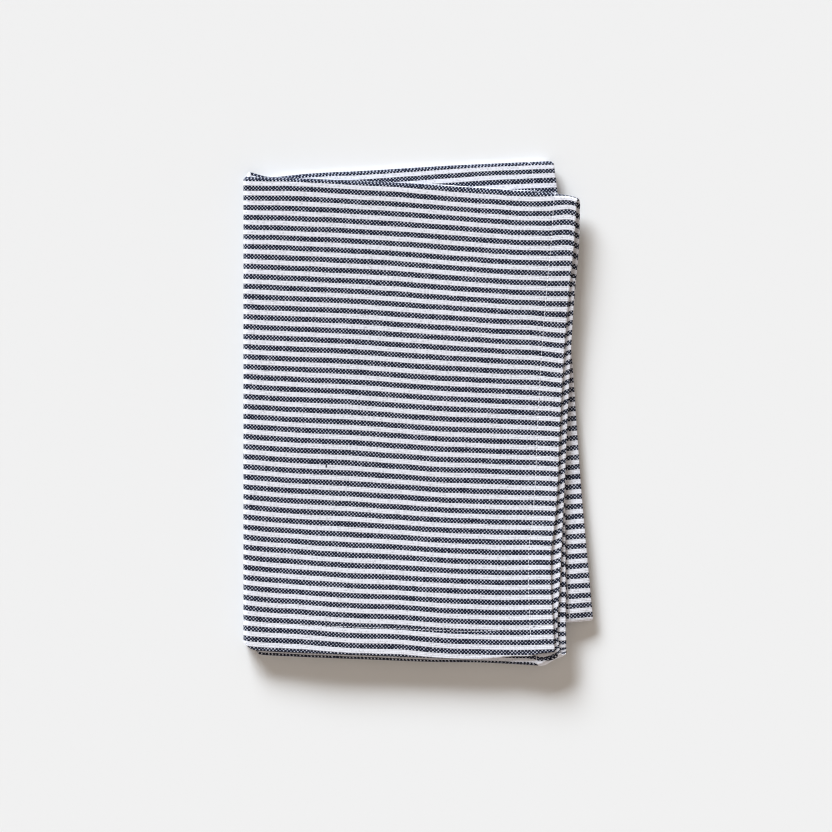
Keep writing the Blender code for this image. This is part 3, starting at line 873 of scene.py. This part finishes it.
def cotton_material(weave, folds):
    """Plain weave: navy and white threads along the stripes, white threads across them."""
    t = Surface("striped_cotton")
    coordinates = t.add("ShaderNodeUVMap")
    coordinates.uv_map = "threads"
    place = coordinates.outputs[0]
    split = t.add("ShaderNodeSeparateXYZ", Vector=place)
    u, v = split.outputs[0], split.outputs[1]
    knots = knot_marks(t, u, v)

    # no thread is quite straight
    drift = t.math("SUBTRACT", t.noise(place, STRIPE_WANDER_SCALE, 3), 0.5)
    other = t.math("SUBTRACT", t.noise(t.vector(v, u, 3.7), CROSS_WANDER_SCALE, 3), 0.5)
    v = t.scaled(drift, STRIPE_WANDER, v)
    u = t.scaled(other, CROSS_WANDER, u)

    count = weave.stripe_threads
    pitch = weave.stripe_pitch / (2 * count)
    first = folds.top_bend - FIRST_STRIPE - count / 2 * pitch
    along = t.times(t.math("SUBTRACT", v, first), 1 / pitch)
    across = t.times(u, 1 / weave.cross_pitch)
    row, column = t.math("FLOOR", along), t.math("FLOOR", across)
    sine_v = t.math("SINE", t.times(along, math.pi))
    sine_u = t.math("SINE", t.times(across, math.pi))

    # each thread is a little thicker here and thinner there
    row_width = t.noise(t.vector(t.times(u, WIDTH_SCALE), t.times(row, 5.3)), 1, 1)
    column_width = t.noise(t.vector(t.times(v, WIDTH_SCALE), t.times(column, 4.7), 9), 1, 1)
    row_width = t.scaled(row_width, *STRIPE_WIDTH)
    column_width = t.scaled(column_width, *CROSS_WIDTH)
    row_over = t.times(sine_u, t.math("SIGN", sine_v))
    column_over = t.times(sine_v, t.math("SIGN", sine_u))
    row_round = t.times(t.math("ABSOLUTE", sine_v), row_width)
    column_round = t.times(t.math("ABSOLUTE", sine_u), column_width)
    row_height = t.scaled(row_over, DIVE, row_round)
    column_height = t.scaled(column_over, -DIVE, column_round)
    height = t.math("MAXIMUM", row_height, column_height)
    # a random value for each crossing: it varies the weave and, in the white threads' colour, also
    # paints highlights on the thread tops
    crown_and_painted_highlight = t.add("ShaderNodeTexWhiteNoise", Vector=t.vector(row, column))
    crown_and_painted_highlight = t.math("SUBTRACT", crown_and_painted_highlight.outputs["Value"], 0.5)
    # the stripe's thread shows, but for a small diamond where the cross thread comes up
    crossing = t.times(sine_u, sine_v)
    uneven = t.times(t.math("SUBTRACT", row_width, column_width), UNEVEN)
    checker = t.scaled(crown_and_painted_highlight, CROWN, t.math("ADD", crossing, uneven))
    on_top = t.between(checker, *ON_TOP_RANGE)
    worn = t.between(checker, *WORN_RANGE)

    # where the place is in its stripe repeat
    within = t.math("FLOORED_MODULO", t.math("ADD", along, STRIPE_SPREAD), 2 * count)
    stripe = t.math("LESS_THAN", within, count + 2 * STRIPE_SPREAD)
    half = count / 2
    off_middle = t.math("ABSOLUTE", t.math("SUBTRACT", within, half + STRIPE_SPREAD))
    inside = t.between(off_middle, PAINTED_SHADE_RANGE[0] * half, PAINTED_SHADE_RANGE[1] * half)

    # colour
    tone = t.noise(place, TONE_SCALE, 3)
    grain = t.math("SUBTRACT", t.noise(place, GRAIN_SCALE, 1), 0.5)
    hem = t.add("ShaderNodeAttribute")
    hem.attribute_name = "hem"
    lit = t.scaled(tone, *TONE_LIGHT)
    # painted highlight: the crown's share lightens the tops of the white threads, besides random
    # tone
    for value, share in zip((crown_and_painted_highlight, grain, crossing, hem.outputs["Fac"]), LIGHTS):
        lit = t.scaled(value, share, lit)
    # painted shade: the white threads are darkened in the low crevices between them, by the weave's
    # height
    lit = t.times(lit, t.scaled(t.between(height, *PAINTED_SHADE_CREVICE_RANGE), *PAINTED_CREVICE_SHADE))
    navy = (*weave.navy, 1)
    # painted shade: white threads deep inside a navy stripe are darkened towards a greyer colour
    white_with_painted_shade = t.mix(inside, (*weave.white, 1), (*weave.white_in_painted_shade, 1))
    white_cloth = t.mix(lit, BLACK, white_with_painted_shade)
    fleck = t.between(t.noise(place, FLECK_SCALE, 2), *FLECK_RANGE)
    navy_cloth = t.mix(worn, navy, (*weave.faded_navy, 1))
    navy_cloth = t.mix(t.times(fleck, FLECK_SHARE), navy_cloth, FLECK_COLOUR)
    striped = t.mix(t.times(stripe, on_top), white_cloth, navy_cloth)
    t.give("Base Color", t.mix(knots, striped, navy))
    t.give("Roughness", t.scaled(tone, *CLOTH_ROUGHNESS))
    t.give("Specular IOR Level", 0.15)
    t.give("Sheen Weight", 0.12)
    t.give("Sheen Roughness", 0.4)
    t.bump(height, 0.5, weave.relief)
    return t.material


def thread_material(weave):
    """White sewing thread, twisted, with a soft sheen."""
    t = Surface("sewing_thread")
    place = t.add("ShaderNodeTexCoord").outputs["Object"]
    tone = t.noise(place, THREAD_TONE_SCALE, 2)
    lit = t.scaled(tone, *THREAD_LIGHT)
    t.give("Base Color", t.mix(lit, BLACK, (*weave.white, 1)))
    t.give("Roughness", t.scaled(tone, *THREAD_ROUGHNESS))
    t.give("Sheen Weight", 0.2)
    twist = t.add("ShaderNodeTexWave", Vector=place, Scale=TWIST_SCALE)
    twist.bands_direction = "DIAGONAL"
    t.bump(twist.outputs["Fac"], 0.4, TWIST_RELIEF)
    return t.material


def sampled(grid, row, column):
    """Values of a grid between its points, at fractional rows and columns."""
    i = np.clip(np.floor(row).astype(int), 0, grid.shape[0] - 2)
    j = np.clip(np.floor(column).astype(int), 0, grid.shape[1] - 2)
    a, b = row - i, column - j
    if grid.ndim == 3:
        a, b = a[..., None], b[..., None]
    low = grid[i, j] * (1 - b) + grid[i, j + 1] * b
    high = grid[i + 1, j] * (1 - b) + grid[i + 1, j + 1] * b
    return low * (1 - a) + high * a


def counted(at, places, first=0):
    """The fractional number of a place in a rising row of places."""
    return np.interp(at, places, np.arange(first, first + len(places)))


def stitch_places(start, end, sizes):
    """Where the points of each stitch lie along a line of stitching."""
    starts = np.arange(start, end, sizes.stitch_length + sizes.stitch_gap)
    return starts[:, None] + np.array(STITCH["along"]) * sizes.stitch_length


def stitch_run(cloth, lengthwise, far, sizes):
    """Fractional rows and columns of each stitch's points, for one line of stitching."""
    length = cloth.folds.length
    if lengthwise:
        margin = sizes.end_hem / 2
        rows = counted(stitch_places(margin, length - margin, sizes), cloth.rows)
        insets = cloth.side_inset[0]
        half = len(insets) // 2
        inset = sizes.side_hem - sizes.stitch_inset
        column = counted(-inset, -insets[half:], half) if far else counted(inset, insets[:half])
        return rows, np.full_like(rows, column)
    inset = sizes.end_hem - sizes.stitch_inset
    row = counted(length - inset if far else inset, cloth.rows)
    across = cloth.u[int(row)]
    margin = sizes.side_hem / 2
    columns = counted(stitch_places(across[0] + margin, across[-1] - margin, sizes), across)
    return np.full_like(columns, row), columns


def stitches_object(cloth, name):
    """Every stitch of the four hems, on both sides of the cloth, as small lengths of thread."""
    sizes = cloth.sizes
    angles = np.arange(STITCH_SIDES) * 2 * np.pi / STITCH_SIDES
    fat = np.array(STITCH["width"])[:, None, None]
    rise = np.array(STITCH["rise"])[:, None]
    points, faces = [], []
    count = 0
    for lengthwise in (True, False):
        radius = sizes.sewing_thread / 2 * (1 if lengthwise else END_STITCH_SHARE)
        for far in (False, True):
            rows, columns = stitch_run(cloth, lengthwise, far, sizes)
            for face in (1, -1):
                thick = cloth.right_thickness if face > 0 else cloth.wrong_thickness
                out = sampled(thick, rows, columns)[..., None] + radius * rise
                normal = sampled(cloth.normal, rows, columns) * face
                base = sampled(cloth.points, rows, columns) + normal * out
                run = np.gradient(base, axis=1)
                run /= np.linalg.norm(run, axis=-1, keepdims=True)
                aside = np.cross(run, normal)
                aside /= np.linalg.norm(aside, axis=-1, keepdims=True)
                ring = (
                    base[:, :, None]
                    + aside[:, :, None] * (np.cos(angles) * radius)[:, None] * fat
                    + normal[:, :, None] * (np.sin(angles) * radius)[:, None] * fat
                )
                points.append(ring.reshape(-1, 3))
                size = len(points[-1])
                near = count + np.arange(size).reshape(ring.shape[:-1])
                next_ = np.roll(near, -1, axis=2)
                quads = np.stack([near[:, :-1], next_[:, :-1], next_[:, 1:], near[:, 1:]], axis=-1)
                faces += quads.reshape(-1, 4).tolist()
                faces += near[:, 0, ::-1].tolist() + near[:, -1].tolist()
                count += size
    placed = np.concatenate(points) + cloth.centring()
    # underneath, they are pressed flat against the table
    placed[:, 2] = np.maximum(placed[:, 2], 0)
    mesh = bpy.data.meshes.new(name)
    mesh.from_pydata(placed.tolist(), [], faces)
    mesh.shade_smooth()
    return new_object(name, mesh)


class TEATOWEL_OT_cloth(bpy.types.Operator):
    """Fold the striped cloth and put it in place of the plain solid"""

    bl_idname = "teatowel.cloth"
    bl_label = "Fold the Cloth"

    def execute(self, context):
        scene = context.scene
        cloth = Cloth(scene.towel_sizes)
        towel = cloth_object(cloth, "towel_striped_cloth")
        towel.data.materials.append(cotton_material(scene.towel_weave, cloth.folds))
        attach(towel, "root")
        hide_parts(CLOTH_NODE)
        return {"FINISHED"}


class TEATOWEL_OT_stitches(bpy.types.Operator):
    """Sew the four hems with white thread"""

    bl_idname = "teatowel.stitches"
    bl_label = "Sew the Hems"

    def execute(self, context):
        scene = context.scene
        cloth = Cloth(scene.towel_sizes)
        thread = stitches_object(cloth, "hem_stitches")
        thread.data.materials.append(thread_material(scene.towel_weave))
        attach(thread, "root")
        return {"FINISHED"}


class TEATOWEL_OT_studio(bpy.types.Operator):
    """Lay the pale floor and set the soft light and the camera"""

    bl_idname = "teatowel.studio"
    bl_label = "Set the Studio"

    def execute(self, context):
        scene = context.scene
        studio = scene.towel_studio
        mesh = bpy.data.meshes.new("floor")
        low, high = -FLOOR_HALF, FLOOR_HALF
        corners = [(low, low, 0), (high, low, 0), (high, high, 0), (low, high, 0)]
        mesh.from_pydata(corners, [], [(0, 1, 2, 3)])
        floor = new_object("floor", mesh)
        surface = Surface("pale_floor")
        surface.give("Base Color", (*studio.floor_colour, 1))
        surface.give("Roughness", 1)
        surface.give("Specular IOR Level", 0)
        mesh.materials.append(surface.material)

        for name, side in KEY_PANELS.items():
            key = bpy.data.lights.new(name, "SUN")
            key.energy = studio.key_strength / len(KEY_PANELS)
            key.color = studio.key_colour
            key.angle = studio.key_softness
            turn = studio.key_turn - side * studio.key_spread
            source = Vector((
                -math.sin(turn) * math.cos(studio.key_height),
                math.cos(turn) * math.cos(studio.key_height),
                math.sin(studio.key_height),
            ))
            lamp = new_object(name, key)
            lamp.rotation_euler = source.to_track_quat("Z", "Y").to_euler()
            lamp.location = source * KEY_DISTANCE

        world = bpy.data.worlds.new("studio")
        world.use_nodes = True
        nodes, links = world.node_tree.nodes, world.node_tree.links
        background = nodes["Background"]
        background.inputs["Color"].default_value = (*studio.ambient_colour, 1)
        # the side across from the key light is the brighter one, as from a white card
        direction = nodes.new("ShaderNodeTexCoord")
        facing = nodes.new("ShaderNodeVectorMath")
        facing.operation = "DOT_PRODUCT"
        across = (math.sin(studio.key_turn), -math.cos(studio.key_turn), 0)
        facing.inputs[1].default_value = across
        level = nodes.new("ShaderNodeMath")
        level.operation = "MULTIPLY_ADD"
        level.inputs[1].default_value = studio.ambient_strength * studio.card_share
        level.inputs[2].default_value = studio.ambient_strength
        links.new(direction.outputs["Generated"], facing.inputs[0])
        links.new(facing.outputs["Value"], level.inputs[0])
        links.new(level.outputs[0], background.inputs["Strength"])
        scene.world = world

        lens = bpy.data.cameras.new("camera")
        lens.sensor_width = 36
        lens.lens = lens.sensor_width * studio.camera_distance / studio.view_width
        lens.clip_end = 50
        camera = new_object("camera", lens)
        camera.location = (*studio.camera_centre, studio.camera_distance + TOP_LAYER)
        scene.camera = camera
        scene.view_settings.view_transform = "Standard"
        # the threads are hardly wider than a pixel, so the denoiser keeps them as they are
        scene.cycles.denoising_prefilter = "NONE"
        scene.cycles.filter_width = 1.2
        return {"FINISHED"}


class TEATOWEL_PT_panel(bpy.types.Panel):
    """Lists the towel's pieces, sizes and colours"""

    bl_idname = "TEATOWEL_PT_panel"
    bl_label = "Tea Towel"
    bl_space_type = "VIEW_3D"
    bl_region_type = "UI"
    bl_category = "Tea Towel"

    def draw(self, context):
        scene = context.scene
        for group in (scene.towel_sizes, scene.towel_weave, scene.towel_studio):
            box = self.layout.box()
            for name in group.__annotations__:
                box.prop(group, name)
        for operator in (TEATOWEL_OT_studio, TEATOWEL_OT_cloth, TEATOWEL_OT_stitches):
            self.layout.operator(operator.bl_idname)


CLASSES = (
    TowelSizes,
    TowelWeave,
    StudioSettings,
    TEATOWEL_OT_studio,
    TEATOWEL_OT_cloth,
    TEATOWEL_OT_stitches,
    TEATOWEL_PT_panel,
)


def register():
    for cls in CLASSES:
        bpy.utils.register_class(cls)
    bpy.types.Scene.towel_sizes = PointerProperty(type=TowelSizes)
    bpy.types.Scene.towel_weave = PointerProperty(type=TowelWeave)
    bpy.types.Scene.towel_studio = PointerProperty(type=StudioSettings)


def unregister():
    del bpy.types.Scene.towel_studio
    del bpy.types.Scene.towel_weave
    del bpy.types.Scene.towel_sizes
    for cls in reversed(CLASSES):
        bpy.utils.unregister_class(cls)


def main():
    register()
    bpy.ops.teatowel.studio()
    bpy.ops.teatowel.cloth()
    bpy.ops.teatowel.stitches()


if __name__ == "__main__":
    main()
